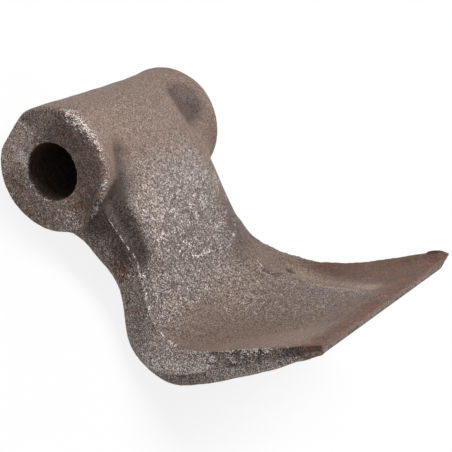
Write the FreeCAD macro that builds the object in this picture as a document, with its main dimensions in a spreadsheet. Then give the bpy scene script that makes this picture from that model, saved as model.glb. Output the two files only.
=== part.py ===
import FreeCAD, Part
import math
import os
import Sketcher

# One forged hammer for a shredder rotor: a bored boss that swings on a pin, a crowned web that leaves
# the boss front, and a scoop blade that turns up from the heel to a ground cutting edge.
# Frame: origin at the bore centre, +Y along the bore, +Z up. The hammer lies on its back, on the boss
# and the heel, with the cutting edge toward +X and up.

Vector = FreeCAD.Vector
os.makedirs("parts", exist_ok=True)
doc = FreeCAD.newDocument("hammer")

# Driving sizes in millimetres and degrees.
DRIVING = [
    ("bore_across", 16.5, "pin bore"),
    ("boss_across", 35.0, "outside of the boss"),
    ("boss_length", 62.4, "boss from end to end"),
    ("boss_end_cut", 1.0, "bevel on the ends of the boss"),
    ("web_tilt", 17.0, "fall of the web from level"),
    ("web_offset", 8.4, "bore axis to the parting line of the web"),
    ("bend_start", 40.0, "bore axis to the start of the bend, along the web"),
    ("bend_radius", 24.0, "radius of the parting line in the bend"),
    ("bend_turn", 71.5, "angle from the web to the blade"),
    ("forging_draft", 7.0, "slope of the side walls"),
    ("shoulder_share", 0.75, "shoulder half width as a share of the valley half width"),
    ("hollow_round", 9.0, "radius across the hollow beside the tongue"),
    ("hollow_deep", 1.7, "depth of the hollow beside the tongue"),
    ("hollow_long", 15.2, "length of the round cut that makes the hollow"),
    ("hollow_side", 18.6, "mid plane to the hollow beside the tongue"),
    ("hollow_turn", 66.0, "angle of the hollow round the boss, from level"),
    ("hollow_lean", -14.0, "lean of the hollow away from the tongue"),
    ("corner_share", 0.20, "bevel of the back corners as a share of the side wall depth"),
]

# Cross sections along the part, each square to the parting line.
# name, half width at the parting line, valley half width, valley height, shoulder height, middle height
SECTION_SIZES = [
    ("tip", 21.0, 13.0, -1.0, 3.8, 4.7),
    ("bore", 25.0, 18.5, 3.0, 9.4, 9.6),
    ("collar", 27.5, 24.5, 0.5, 8.6, 9.6),
    ("root", 28.8, 27.2, 0.2, 8.0, 9.0),
    ("neck", 28.0, 27.0, 0.2, 7.0, 8.0),
    ("flare", 28.0, 27.5, 0.0, 4.6, 6.0),
    ("knee", 29.8, 29.0, -0.4, 3.2, 4.4),
    ("heel", 34.3, 33.0, -1.2, 1.2, 2.4),
    ("turn", 39.8, 31.0, -2.2, -0.8, 0.2),
    ("rise", 41.1, 26.0, -2.4, -1.4, -0.8),
    ("blade", 41.1, 21.0, -2.3, -1.6, -1.2),
    ("lip", 41.4, 18.0, -2.1, -1.6, -1.3),
    ("edge", 41.8, 18.0, -1.8, -1.5, -1.2),
]

# Side wall depth below the parting line, where it isn't found from other sizes.
DEPTH = [
    ("tip", 9.0),
    ("bore", 14.0),
    ("collar", 20.0),
    ("root", 17.2),
    ("neck", 11.6),
    ("flare", 9.7),
    ("knee", 9.6),
    ("turn", 12.2),
    ("rise", 9.4),
    ("blade", 7.7),
    ("lip", 5.4),
    ("edge", 3.0),
]

# Where the cross sections stand: from the bore axis down the web, and from the bend up the blade.
ALONG_WEB = [("tip", -11.0), ("bore", -1.0), ("collar", 8.0), ("root", 15.0),
             ("neck", 23.0), ("flare", 33.0), ("knee", 40.0)]
ALONG_BLADE = [("rise", 0.0), ("blade", 12.0), ("lip", 24.0), ("edge", 35.0)]

sheet = doc.addObject("Spreadsheet::Sheet", "sizes")
row = 1


def put(alias, content, note=""):
    global row
    sheet.set("A%d" % row, note if note else alias.replace("_", " "))
    sheet.set("B%d" % row, str(content))
    sheet.setAlias("B%d" % row, alias)
    row += 1


for alias, value, note in DRIVING:
    put(alias, value, note)
for name, half, valley, valley_z, shoulder_z, middle_z in SECTION_SIZES:
    put(name + "_half", half)
    put(name + "_valley", valley)
    put(name + "_valley_height", valley_z)
    put(name + "_shoulder_height", shoulder_z)
    put(name + "_middle_height", middle_z)
for name, value in DEPTH:
    put(name + "_depth", value)
for name, value in ALONG_WEB + ALONG_BLADE:
    put(name + "_along", value)
put("turn_angle", 44.0, "turn of the section in the second half of the bend")

# Places of the cross sections, worked out from the driving sizes.
for name, value in ALONG_WEB:
    put(name + "_x", "=web_offset * sin(web_tilt) + %s_along * cos(web_tilt)" % name)
    put(name + "_z", "=web_offset * cos(web_tilt) - %s_along * sin(web_tilt)" % name)
    put(name + "_lean", "=-web_tilt")
put("centre_x", "=(web_offset + bend_radius) * sin(web_tilt) + bend_start * cos(web_tilt)")
put("centre_z", "=(web_offset + bend_radius) * cos(web_tilt) - bend_start * sin(web_tilt)")
put("heel_x", "=centre_x")
put("heel_z", "=centre_z - bend_radius")
put("heel_lean", "=0")
put("heel_depth", "=heel_z + boss_across / 2", "brings the heel level with the underside of the boss")
put("turn_lean", "=turn_angle - web_tilt")
put("turn_x", "=centre_x + bend_radius * sin(turn_lean)")
put("turn_z", "=centre_z - bend_radius * cos(turn_lean)")
for name, value in ALONG_BLADE:
    put(name + "_lean", "=bend_turn - web_tilt")
    put(name + "_x", "=centre_x + bend_radius * sin(%s_lean) + %s_along * cos(%s_lean)" % (name, name, name))
    put(name + "_z", "=centre_z - bend_radius * cos(%s_lean) + %s_along * sin(%s_lean)" % (name, name, name))
doc.recompute()


def size(alias):
    return float(sheet.get(alias))


def origin_plane(body, role):
    for feature in body.Origin.OriginFeatures:
        if feature.Role == role:
            return feature


def circle_sketch(body, name, alias):
    sketch = body.newObject("Sketcher::SketchObject", name)
    sketch.AttachmentSupport = [(origin_plane(body, "XZ_Plane"), "")]
    sketch.MapMode = "FlatFace"
    sketch.addGeometry(Part.Circle(Vector(), Vector(0, 0, 1), size(alias) / 2), False)
    sketch.addConstraint(Sketcher.Constraint("Coincident", 0, 3, -1, 1))
    across = sketch.addConstraint(Sketcher.Constraint("Diameter", 0, size(alias)))
    sketch.setExpression("Constraints[%d]" % across, "sizes." + alias)
    return sketch


def tie(sketch, kind, geometry, point, value, expression):
    index = sketch.addConstraint(Sketcher.Constraint(kind, -1, 1, geometry, point, value))
    sketch.setExpression("Constraints[%d]" % index, expression)


def cross_section(body, name):
    """Closed outline: curved front from rim to rim, two drafted side walls and a straight back."""
    half = size(name + "_half")
    valley = size(name + "_valley")
    valley_z = size(name + "_valley_height")
    shoulder = valley * size("shoulder_share")
    depth = size(name + "_depth")
    back = half + depth * math.tan(math.radians(size("forging_draft")))
    poles = [
        (half, 0.0, "sizes.%s_half" % name, "0"),
        ((half + valley) / 2, valley_z / 2,
         "(sizes.%s_half + sizes.%s_valley) / 2" % (name, name), "sizes.%s_valley_height / 2" % name),
        (valley, valley_z, "sizes.%s_valley" % name, "sizes.%s_valley_height" % name),
        (shoulder, size(name + "_shoulder_height"),
         "sizes.%s_valley * sizes.shoulder_share" % name, "sizes.%s_shoulder_height" % name),
    ]
    middle = size(name + "_middle_height")

    sketch = body.newObject("Sketcher::SketchObject", name + "_section")
    sketch.AttachmentSupport = [(origin_plane(body, "YZ_Plane"), "")]
    sketch.MapMode = "FlatFace"
    lean = size(name + "_lean")
    sketch.AttachmentOffset = FreeCAD.Placement(
        Vector(0, size(name + "_z"), size(name + "_x")),
        FreeCAD.Rotation(Vector(1, 0, 0), -lean))
    sketch.setExpression("AttachmentOffset.Base.y", "sizes.%s_z" % name)
    sketch.setExpression("AttachmentOffset.Base.z", "sizes.%s_x" % name)
    sketch.setExpression("AttachmentOffset.Rotation.Angle", "-sizes.%s_lean" % name)

    points = [Vector(-x, z, 0) for x, z, _, _ in poles]
    points.append(Vector(0, middle, 0))
    points.extend(Vector(x, z, 0) for x, z, _, _ in reversed(poles))
    front = Part.BSplineCurve()
    front.buildFromPoles(points)
    curve = sketch.addGeometry(front, False)
    sketch.exposeInternalGeometry(curve)
    last = len(points)
    for step, (x, z, x_size, z_size) in enumerate(poles):
        left = 1 + step
        right = last - step
        tie(sketch, "DistanceX", right, 3, x, x_size)
        if step == 0:
            sketch.addConstraint(Sketcher.Constraint("PointOnObject", right, 3, -1))
        else:
            tie(sketch, "DistanceY", right, 3, z, z_size)
        sketch.addConstraint(Sketcher.Constraint("Symmetric", left, 3, right, 3, -2))
    centre = 1 + len(poles)
    sketch.addConstraint(Sketcher.Constraint("PointOnObject", centre, 3, -2))
    tie(sketch, "DistanceY", centre, 3, middle, "sizes.%s_middle_height" % name)

    draft = math.radians(size("forging_draft"))
    cut = depth * size("corner_share")
    side_end = Vector(back - cut * math.tan(draft), -depth + cut, 0)
    floor_end = Vector(back - cut, -depth, 0)
    side_mirror = Vector(-side_end.x, side_end.y, 0)
    floor_mirror = Vector(-floor_end.x, floor_end.y, 0)
    right_side = sketch.addGeometry(Part.LineSegment(Vector(half, 0, 0), side_end), False)
    right_corner = sketch.addGeometry(Part.LineSegment(side_end, floor_end), False)
    floor = sketch.addGeometry(Part.LineSegment(floor_end, floor_mirror), False)
    left_corner = sketch.addGeometry(Part.LineSegment(floor_mirror, side_mirror), False)
    left_side = sketch.addGeometry(Part.LineSegment(side_mirror, Vector(-half, 0, 0)), False)
    sketch.addConstraint(Sketcher.Constraint("Coincident", curve, 2, right_side, 1))
    sketch.addConstraint(Sketcher.Constraint("Coincident", right_side, 2, right_corner, 1))
    sketch.addConstraint(Sketcher.Constraint("Coincident", right_corner, 2, floor, 1))
    sketch.addConstraint(Sketcher.Constraint("Coincident", floor, 2, left_corner, 1))
    sketch.addConstraint(Sketcher.Constraint("Coincident", left_corner, 2, left_side, 1))
    sketch.addConstraint(Sketcher.Constraint("Coincident", left_side, 2, curve, 1))
    sketch.addConstraint(Sketcher.Constraint("Symmetric", floor, 1, floor, 2, -2))
    sketch.addConstraint(Sketcher.Constraint("Symmetric", left_corner, 2, right_corner, 1, -2))
    depth_size = "sizes.%s_depth" % name
    drop = depth_size + " * (1 - sizes.corner_share)"
    wall = "sizes.%s_half + %s * tan(sizes.forging_draft)" % (name, drop)
    foot = "sizes.%s_half + %s * (tan(sizes.forging_draft) - sizes.corner_share)" % (name, depth_size)
    tie(sketch, "DistanceX", right_side, 2, side_end.x, wall)
    tie(sketch, "DistanceY", right_side, 2, side_end.y, "-" + drop)
    tie(sketch, "DistanceX", right_corner, 2, floor_end.x, foot)
    tie(sketch, "DistanceY", right_corner, 2, -depth, "-" + depth_size)
    return sketch


body = doc.addObject("PartDesign::Body", "hammer")
body.Label = "hammer"

# Boss: a plain cylinder with bevelled ends.
boss_circle = circle_sketch(body, "boss_circle", "boss_across")
doc.recompute()
boss = body.newObject("PartDesign::Pad", "boss")
boss.Profile = boss_circle
boss.Midplane = True
boss.setExpression("Length", "sizes.boss_length")
doc.recompute()
ends = []
for index, edge in enumerate(boss.Shape.Edges):
    if isinstance(edge.Curve, Part.Circle):
        ends.append("Edge%d" % (index + 1))
boss_ends = body.newObject("PartDesign::Chamfer", "boss_ends")
boss_ends.Base = (boss, ends)
boss_ends.setExpression("Size", "sizes.boss_end_cut")
doc.recompute()

# Tongue, web, heel and blade: one smooth shape through the cross sections.
sections = [cross_section(body, entry[0]) for entry in SECTION_SIZES]
doc.recompute()
sweep = body.newObject("PartDesign::AdditiveLoft", "web_and_blade")
sweep.Profile = sections[0]
sweep.Sections = sections[1:]
sweep.Ruled = False
doc.recompute()

# Hollows in the boss front, one on each side of the tongue.
hollow_frame = body.newObject("PartDesign::CoordinateSystem", "hollow_frame")
hollow_frame.AttachmentSupport = [(origin_plane(body, "XY_Plane"), "")]
hollow_frame.MapMode = "ObjectXY"
hollow_frame.AttachmentOffset = FreeCAD.Placement(
    Vector(), FreeCAD.Rotation(Vector(0, 1, 0), -size("hollow_turn")))
hollow_frame.setExpression("AttachmentOffset.Rotation.Angle", "-sizes.hollow_turn")
doc.recompute()
hollow = body.newObject("PartDesign::SubtractiveCylinder", "hollow")
hollow.AttachmentSupport = [(hollow_frame, "")]
hollow.MapMode = "ObjectXY"
hollow.AttachmentOffset = FreeCAD.Placement(
    Vector(), FreeCAD.Rotation(Vector(1, 0, 0), size("hollow_lean")))
hollow.setExpression("AttachmentOffset.Rotation.Angle", "sizes.hollow_lean")
hollow.setExpression(
    "AttachmentOffset.Base.x", "sizes.boss_across / 2 + sizes.hollow_round - sizes.hollow_deep")
hollow.setExpression(
    "AttachmentOffset.Base.y", "sizes.hollow_long / 2 * sin(sizes.hollow_lean) - sizes.hollow_side")
hollow.setExpression("AttachmentOffset.Base.z", "-sizes.hollow_long / 2 * cos(sizes.hollow_lean)")
hollow.setExpression("Radius", "sizes.hollow_round")
hollow.setExpression("Height", "sizes.hollow_long")
doc.recompute()
hollow_pair = body.newObject("PartDesign::Mirrored", "hollow_pair")
hollow_pair.Originals = [hollow]
hollow_pair.MirrorPlane = (origin_plane(body, "XZ_Plane"), [""])
body.Tip = hollow_pair
doc.recompute()

# Pin bore.
bore_circle = circle_sketch(body, "bore_circle", "bore_across")
doc.recompute()
bore = body.newObject("PartDesign::Pocket", "pin_bore")
bore.Profile = bore_circle
bore.Type = "ThroughAll"
bore.Midplane = True
doc.recompute()

# Every object has to be sound, and the hammer one closed solid.
for thing in doc.Objects:
    if "Invalid" in thing.State or "Error" in thing.State:
        raise RuntimeError(thing.Name + " did not recompute")
    if hasattr(thing, "Shape") and thing.TypeId.startswith("PartDesign") and thing.Shape.isNull():
        if not thing.isDerivedFrom("App::DatumElement") and "CoordinateSystem" not in thing.TypeId:
            raise RuntimeError(thing.Name + " has no shape")
if len(body.Shape.Solids) != 1 or not body.Shape.isValid():
    raise RuntimeError("the hammer is not one valid solid")
print("volume mm3", round(body.Shape.Volume))
body.Shape.exportStep("parts/hammer.step")
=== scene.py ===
# %% [markdown]
# # A forged shredder hammer
#
# This lesson dresses one solid steel forging: a swinging hammer for a shredder, with a bored boss that hangs on a
# pin, a thick web, and a wide curved blade like a scoop. The exact shape and size come from the CAD frame. Blender
# adds what makes it look real: soft forged corners, a rough shot-blasted skin, worn tips, rust and a ground edge.

# %% Load the frame
import math

import bpy
import numpy as np
from mathutils import Euler, Matrix, Vector, noise


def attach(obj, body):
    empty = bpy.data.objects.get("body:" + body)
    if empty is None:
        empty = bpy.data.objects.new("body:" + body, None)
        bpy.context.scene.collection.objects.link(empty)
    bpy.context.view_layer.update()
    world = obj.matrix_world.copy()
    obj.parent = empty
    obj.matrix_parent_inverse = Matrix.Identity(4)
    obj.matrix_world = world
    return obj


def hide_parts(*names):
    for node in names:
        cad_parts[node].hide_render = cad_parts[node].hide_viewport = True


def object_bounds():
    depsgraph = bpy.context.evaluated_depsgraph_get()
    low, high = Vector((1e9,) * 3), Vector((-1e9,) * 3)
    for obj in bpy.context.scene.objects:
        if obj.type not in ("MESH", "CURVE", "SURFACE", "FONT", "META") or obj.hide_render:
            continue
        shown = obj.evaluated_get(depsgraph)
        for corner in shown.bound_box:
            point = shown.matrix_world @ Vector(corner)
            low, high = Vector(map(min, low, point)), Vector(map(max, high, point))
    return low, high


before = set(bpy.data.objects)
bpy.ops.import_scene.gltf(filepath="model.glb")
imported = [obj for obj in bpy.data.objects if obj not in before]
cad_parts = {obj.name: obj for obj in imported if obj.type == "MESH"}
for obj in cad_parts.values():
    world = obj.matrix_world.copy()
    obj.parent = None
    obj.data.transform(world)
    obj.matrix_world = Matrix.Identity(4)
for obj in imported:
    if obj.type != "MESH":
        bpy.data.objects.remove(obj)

MM = 0.001
cad_low, cad_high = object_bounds()
print("CAD box in mm:", [round(v / MM, 1) for v in (*cad_low, *cad_high)])

# %% [markdown]
# ## The camera
#
# The photograph was taken with the hammer standing on its cutting edge and boss, so its web is turned 40 degrees
# from how it lies here. The eye was found in that stance, in millimetres from the pin hole's middle. Turning the
# whole camera with the hammer keeps the same picture while the part rests as it would really lie.

# %% Camera in the photograph's stance, turned with the hammer
STANCE_TURN = math.radians(-40.0)
EYE = Vector((275.433, -419.224, 135.990)) * MM
LOOK_DOWN = math.radians(17.779)
LOOK_ASIDE = math.radians(29.552)
LENS = 141.577
SENSOR = 36.0

stance = Matrix.Rotation(STANCE_TURN, 4, "Y")
eye_turn = Euler((math.pi / 2 - LOOK_DOWN, 0.0, LOOK_ASIDE)).to_matrix().to_4x4()
camera_data = bpy.data.cameras.new("camera")
camera_data.sensor_width = SENSOR
camera_data.lens = LENS
camera_data.clip_start = 0.01
camera_data.clip_end = 50.0
camera = bpy.data.objects.new("camera", camera_data)
bpy.context.scene.collection.objects.link(camera)
camera.matrix_world = stance @ Matrix.Translation(EYE) @ eye_turn
bpy.context.scene.camera = camera
print("camera stands at", [round(v, 3) for v in camera.matrix_world.translation])

# %% [markdown]
# ## One soft forged mesh from the CAD part
#
# A forging has no sharp corner: every rim is rolled over by the die and by shot blasting. A voxel remesh of a copy
# of the CAD mesh gives an even skin of small faces, on which corners can be rounded and the surface roughened
# anywhere. Bevels would need clean edges, which the lofted blade doesn't have. The copy's loose triangles are
# merged first, so that the remesh sees one closed solid.

# %% Copy the CAD node and merge its triangles
MERGE_WITHIN = 0.002 * MM

cad_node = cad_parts["hammer"]
forging = bpy.data.objects.new("forged_hammer", cad_node.data.copy())
bpy.context.scene.collection.objects.link(forging)
bpy.ops.object.select_all(action="DESELECT")
forging.select_set(True)
bpy.context.view_layer.objects.active = forging
bpy.ops.object.mode_set(mode="EDIT")
bpy.ops.mesh.select_all(action="SELECT")
bpy.ops.mesh.remove_doubles(threshold=MERGE_WITHIN)
bpy.ops.object.mode_set(mode="OBJECT")
print("merged copy:", len(forging.data.vertices), "vertices")

# %% An even skin of small faces
SKIN_GRID = 0.61

remesh = forging.modifiers.new("remesh", "REMESH")
remesh.mode = "VOXEL"
remesh.voxel_size = SKIN_GRID * MM
remesh.adaptivity = 0.0
bpy.ops.object.modifier_apply(modifier=remesh.name)
skin = forging.data
count = len(skin.vertices)
print("skin:", count, "vertices,", 2 * len(skin.polygons), "triangles")

# %% [markdown]
# ## Where each point lies on the forging
#
# The web and blade follow one path: straight from the boss, round a bend, then straight to the cutting edge. Three
# lengths describe any point: how far along the path it is, how far to one side, and how high above the parting
# line of the dies. Worn corners, rust and grinding are easier to place with them than with x, y and z.

# %% The path of the parting line, in millimetres
WEB_TILT = math.radians(17.0)
WEB_OFFSET = 8.4
BEND_START = 40.0
BEND_RADIUS = 24.0
BEND_TURN = math.radians(71.5)
BLADE_LENGTH = 35.0
BLADE_TILT = BEND_TURN - WEB_TILT
BLADE_BEGIN = BEND_START + BEND_RADIUS * BEND_TURN
EDGE = BLADE_BEGIN + BLADE_LENGTH

web_along = np.array([math.cos(WEB_TILT), -math.sin(WEB_TILT)])
web_up = np.array([math.sin(WEB_TILT), math.cos(WEB_TILT)])
blade_along = np.array([math.cos(BLADE_TILT), math.sin(BLADE_TILT)])
blade_up = np.array([-math.sin(BLADE_TILT), math.cos(BLADE_TILT)])
bend_begin = web_up * WEB_OFFSET + web_along * BEND_START
bend_middle = bend_begin + web_up * BEND_RADIUS
bend_end = bend_middle - blade_up * BEND_RADIUS
print("the cutting edge lies", round(EDGE, 1), "mm along the path")


def in_space(flat):
    """A pair in the x-z plane, as a vector in space."""
    return np.array([flat[0], 0.0, flat[1]])


def forging_place(points):
    """Along, across and above the parting line for each point, one row a point."""
    x, y, z = points.T
    flat = np.stack([x, z], axis=1)
    from_begin = flat - bend_begin
    from_end = flat - bend_end
    from_middle = flat - bend_middle
    on_web = from_begin @ web_along < 0.0
    on_blade = (from_end @ blade_along > 0.0) & ~on_web
    turned = np.arctan2(from_middle @ web_along, -(from_middle @ web_up))
    along = np.where(on_web, BEND_START + from_begin @ web_along, BEND_START + BEND_RADIUS * turned)
    along = np.where(on_blade, BLADE_BEGIN + from_end @ blade_along, along)
    above = np.where(on_web, from_begin @ web_up, BEND_RADIUS - np.linalg.norm(from_middle, axis=1))
    above = np.where(on_blade, from_end @ blade_up, above)
    return np.stack([along, y, above], axis=1)


def round_hole(points):
    """How far each point is from the pin hole's axis, and at what angle in degrees, with 90 at the top."""
    return np.hypot(points[:, 0], points[:, 2]), np.degrees(np.arctan2(points[:, 2], points[:, 0]))


# %% [markdown]
# ## Tools for shaping by hand
#
# The rest of the shaping is like work with a sculpting brush, but written down, so that it comes out the same each
# time. A brush needs a falloff round a spot or a line, and a way to press, raise or relax the skin under it. All of
# them work on arrays, in millimetres. Sculpting by hand would look as good, but nobody could repeat it.

# %% Read the skin as arrays
points = np.empty(count * 3, np.float32)
skin.vertices.foreach_get("co", points)
points = points.reshape(-1, 3).astype(float) / MM

pairs = np.empty(len(skin.edges) * 2, np.int32)
skin.edges.foreach_get("vertices", pairs)
edge_start, edge_stop = pairs.reshape(-1, 2).T
links = np.bincount(pairs, minlength=count)[:, None]


def neighbour_mean(values):
    """The mean of each point's neighbours, for an array with one row a point."""
    columns = [
        np.bincount(edge_start, column[edge_stop], count) + np.bincount(edge_stop, column[edge_start], count)
        for column in values.T
    ]
    return np.stack(columns, axis=1) / links


def relax(values, rounds, brush=1.0, refill=0.0):
    """Moves each row halfway to its neighbours' mean, as far as the brush allows, a number of times.

    A refill just over 0.5 pushes it back by as much, which smooths small facets but shrinks nothing."""
    for _ in range(rounds):
        values = values + 0.5 * brush * (neighbour_mean(values) - values)
        if refill:
            values = values - refill * brush * (neighbour_mean(values) - values)
    return values


def outward():
    """The skin's normals at its present points."""
    skin.vertices.foreach_set("co", (points * MM).astype(np.float32).ravel())
    skin.update()
    normals = np.empty(count * 3, np.float32)
    skin.vertex_normals.foreach_get("vector", normals)
    return normals.reshape(-1, 3).astype(float)


# %% Brushes: how much a point takes part, from 0 to 1
def rise(value, low, high):
    """0 below low and 1 above high, with a soft step between."""
    share = np.clip((value - low) / (high - low), 0.0, 1.0)
    return share * share * (3.0 - 2.0 * share)


def fall(value, low, high):
    """1 below low and 0 above high."""
    return 1.0 - rise(value, low, high)


def bell(value, middle, width):
    """1 in the middle, falling off to 0 on both sides."""
    return np.exp(-(((value - middle) / width) ** 2))


def spot(where, centre, reach):
    """1 at a place, falling off to 0 round it."""
    return np.exp(-(((where - np.array(centre)) / np.array(reach)) ** 2).sum(axis=1))


def stroke(where, line, width):
    """1 on a line through the given places, falling off to 0 beside it."""
    nearest = np.full(len(where), np.inf)
    for begin, end in zip(line[:-1], line[1:]):
        begin = np.array(begin)
        step = np.array(end) - begin
        share = np.clip((where - begin) @ step / (step @ step), 0.0, 1.0)
        gap = np.linalg.norm(where - begin - share[:, None] * step, axis=1)
        nearest = np.minimum(nearest, gap)
    return np.exp(-((nearest / width) ** 2))


def lumps(where, size, seed):
    """Smooth random lumps from about -1 to 1, the same in every run."""
    shift = Vector((seed * 17.3, seed * 5.1, seed * 9.7))
    return np.array([noise.noise(Vector(p) / size + shift) for p in where]) * 1.6


# %% [markdown]
# ## Round every corner, but keep the ground edge crisp
#
# Relaxing the skin rounds corners to about a millimetre, as on a forging. The cutting edge and the drilled hole are
# machined after forging, so the brush spares them. The corner above each hollow of the boss front is much softer.

# %% Soften the forged skin
CORNER_ROUNDS = 30
HOLLOW_ROUNDS = 90
HOLLOW_TOP = [(1.0, 18.6, 16.0), (7.0, 20.5, 13.0), (13.0, 24.5, 8.5), (17.0, 27.0, 3.0)]

along, across, above = forging_place(points).T
radius, angle = round_hole(points)
machined = np.maximum(rise(along, 96.0, 102.0), fall(radius, 9.0, 10.5))
points = relax(points, CORNER_ROUNDS, (1.0 - machined)[:, None], refill=0.52)
points = relax(points, 2, (1.0 - machined)[:, None])

both_sides = np.stack([points[:, 0], np.abs(points[:, 1]), points[:, 2]], axis=1)
beside_web = rise(along - 14.0, 0.0, 6.0) * rise(np.abs(across), 26.0, 27.5)
boss_end = rise(both_sides[:, 1], 28.5, 30.5)
soft_corner = np.minimum(stroke(both_sides, HOLLOW_TOP, 7.0) * 1.3, 1.0) * (1.0 - np.maximum(beside_web, boss_end))
points = relax(points, HOLLOW_ROUNDS, soft_corner[:, None])
print("softened; hollows relaxed over", int((soft_corner > 0.5).sum()), "points")

# %% [markdown]
# ## Hollows and folds
#
# The die left a groove between the boss rim and the near side of the web, a round dish on the far side, and a fold
# along each side of the blade. They are pressed in along the skin's normals, which were smoothed first so that a
# press doesn't tear a corner open.

# %% Press the groove, the dish and the folds
NEAR_GROOVE = [(8.6, -20.3, 13.6), (11.8, -21.6, 12.2), (14.4, -22.6, 9.6), (16.6, -24.4, 7.2)]
FAR_DISH = [(-0.5, 18.9, 17.2), (2.6, 19.6, 16.4), (6.0, 20.8, 15.2)]
NECK_FLANK = [(16.0, -27.0, 1.4), (21.0, -27.0, 1.4), (27.0, -27.0, 1.2), (33.0, -27.8, 0.6)]
FOLD = [
    (52.0, 33.6, -0.5), (57.0, 32.2, -1.5), (64.3, 30.1, -1.7), (70.0, 26.3, -2.0), (75.1, 22.5, -2.0),
    (85.5, 16.8, -1.9), (92.0, 14.5, -1.9),
]

normals = relax(outward(), 6)
normals /= np.linalg.norm(normals, axis=1)[:, None]
place = forging_place(points)
along, across, above = place.T
mirror_place = place * np.array([1.0, -1.0, 1.0])

upward = rise(normals @ in_space(web_up), 0.1, 0.4)
press = 1.25 * stroke(points, NEAR_GROOVE, 3.6)
press += 1.3 * stroke(points, FAR_DISH, 4.4)
press += 1.0 * stroke(place, NECK_FLANK, 2.2) * upward
press += 0.6 * stroke(mirror_place, NECK_FLANK, 2.2) * upward
press += 0.25 * stroke(place, FOLD, 2.0)
press += 0.15 * stroke(mirror_place, FOLD, 3.0)
points = points - normals * press[:, None]
print("deepest press", round(press.max(), 2), "mm")

# %% [markdown]
# ## A raised rim, and a ridge along the heel
#
# The far rim of the blade was drawn up a little in the press. On the near side, steel bulged out under the neck and
# the heel, and the trimmed rim left a ridge that runs along the heel and fades out on the blade.

# %% Raise the far rim
BLADE_UP = in_space(blade_up)
BLADE_ALONG = in_space(blade_along)
LIFT_ALONG = [50.0, 57.0, 66.0, 79.0, 88.0, 95.0, 99.0, 103.0, 105.0]
LIFT_BY = [0.9, 0.9, 0.6, 0.05, 0.45, 0.9, 1.4, 1.25, 0.6]

wing_lift = np.interp(along, LIFT_ALONG, LIFT_BY) * rise(across, 33.0, 40.0)
wing_lift += 0.65 * bell(along, 100.8, 2.9) * rise(across, 39.3, 41.0)
wing_lift *= rise(above, -3.0, -0.5)
points = points + BLADE_UP * wing_lift[:, None]
print("far rim raised by", round(wing_lift.max(), 2), "mm")

# %% Bulges on the near wall, and the heel ridge
BULGES = [
    (1.5, (26.0, -28.5, -9.5), (6.5, 5.0, 4.0)),
    (0.9, (58.5, -40.5, -10.5), (5.0, 3.0, 2.5)),
    (-0.7, (71.5, -42.0, -7.6), (6.0, 2.5, 2.2)),
    (0.7, (99.5, -41.6, -3.2), (4.0, 1.6, 1.2)),
]
HEEL_ALONG = [45.3, 47.4, 49.5, 51.6, 54.0, 56.4, 58.9, 60.9, 64.8, 68.7, 76.7, 86.2, 95.5]
HEEL_RIDGE = [-9.4, -9.4, -9.8, -10.0, -10.2, -9.6, -8.6, -7.8, -6.4, -5.4, -4.7, -4.1, -3.0]

swelling = sum(height * spot(place, centre, reach) for height, centre, reach in BULGES)
over_ridge = above - np.interp(along, HEEL_ALONG, HEEL_RIDGE)
heel = rise(-normals[:, 1], 0.35, 0.7) * rise(along, 44.0, 49.0) * fall(along, 66.0, 74.0)
swelling += heel * 0.5 * rise(over_ridge, -0.3, 0.5) * fall(over_ridge, 0.9, 5.0)
swelling -= heel * 0.2 * fall(over_ridge, -0.6, 0.2)
points = points + normals * swelling[:, None]
print("near wall bulges by", round(swelling.max(), 2), "mm")

# %% [markdown]
# ## The raised patch on the far side
#
# A flat patch a little higher than the rest is what a shallow pocket of the die leaves. Its lower corner has a small
# torn dent. A last light relaxing takes the steps out of the far edge, where it shows against the background.

# %% Raise the patch and even out the far edge
PATCH_MIDDLE = np.array([50.6, 28.2])
PATCH_REACH = np.array([6.2, 6.6])
PATCH_HEIGHT = 0.22
TORN_DENT = (57.3, 31.5, -1.7)
FAR_EDGE = [
    (40.0, 28.0, -0.4), (43.1, 31.0, -0.7), (46.8, 33.8, -0.8), (52.3, 36.3, -1.2), (57.3, 37.9, -1.3),
    (62.0, 39.5, -1.3),
]

patch_edge = (np.abs((place[:, :2] - PATCH_MIDDLE) / PATCH_REACH) ** 4).sum(axis=1) ** 0.25
patch_plateau = fall(patch_edge, 0.90, 1.04) * rise(above, -3.0, -2.0)
patch_height = PATCH_HEIGHT * patch_plateau - 0.6 * spot(place, TORN_DENT, (1.3, 1.1, 2.0))
points = points + normals * patch_height[:, None]
points = relax(points, 16, np.minimum(1.3 * stroke(place, FAR_EDGE, 2.0), 1.0)[:, None])
print("patch covers", int((patch_plateau > 0.5).sum()), "points")

# %% [markdown]
# ## The ground cutting edge
#
# The edge is ground after forging. So the floor of the blade is levelled behind it, and what faces forward is
# pressed onto one plane.

# %% Level the blade's floor behind the edge, and flatten the ground face
along, across, above = forging_place(points).T
floor_height = -1.0 + 0.6 * (np.abs(across) / 40.0) ** 2
facing_up = rise(normals @ BLADE_UP, 0.2, 0.6)
lift = (floor_height - above) * rise(along, 93.0, 103.5) * facing_up
points = points + BLADE_UP * np.clip(lift, -0.8, 0.9)[:, None]
ground = rise(normals @ BLADE_ALONG, 0.75, 0.95) * (along > EDGE - 0.8)
points = points + BLADE_ALONG * ((EDGE - along) * ground)[:, None]
print("ground face:", int((ground > 0.5).sum()), "points")

# %% [markdown]
# ## Worn blade tips
#
# The two corners of the cutting edge meet the crop first, so they are worn back to a slope, more below than above.
# A bisect would cut them too, but its fill can go wrong on lofted triangles. Pressing what lies outside a plane
# onto that plane is safe on an even skin.

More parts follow.
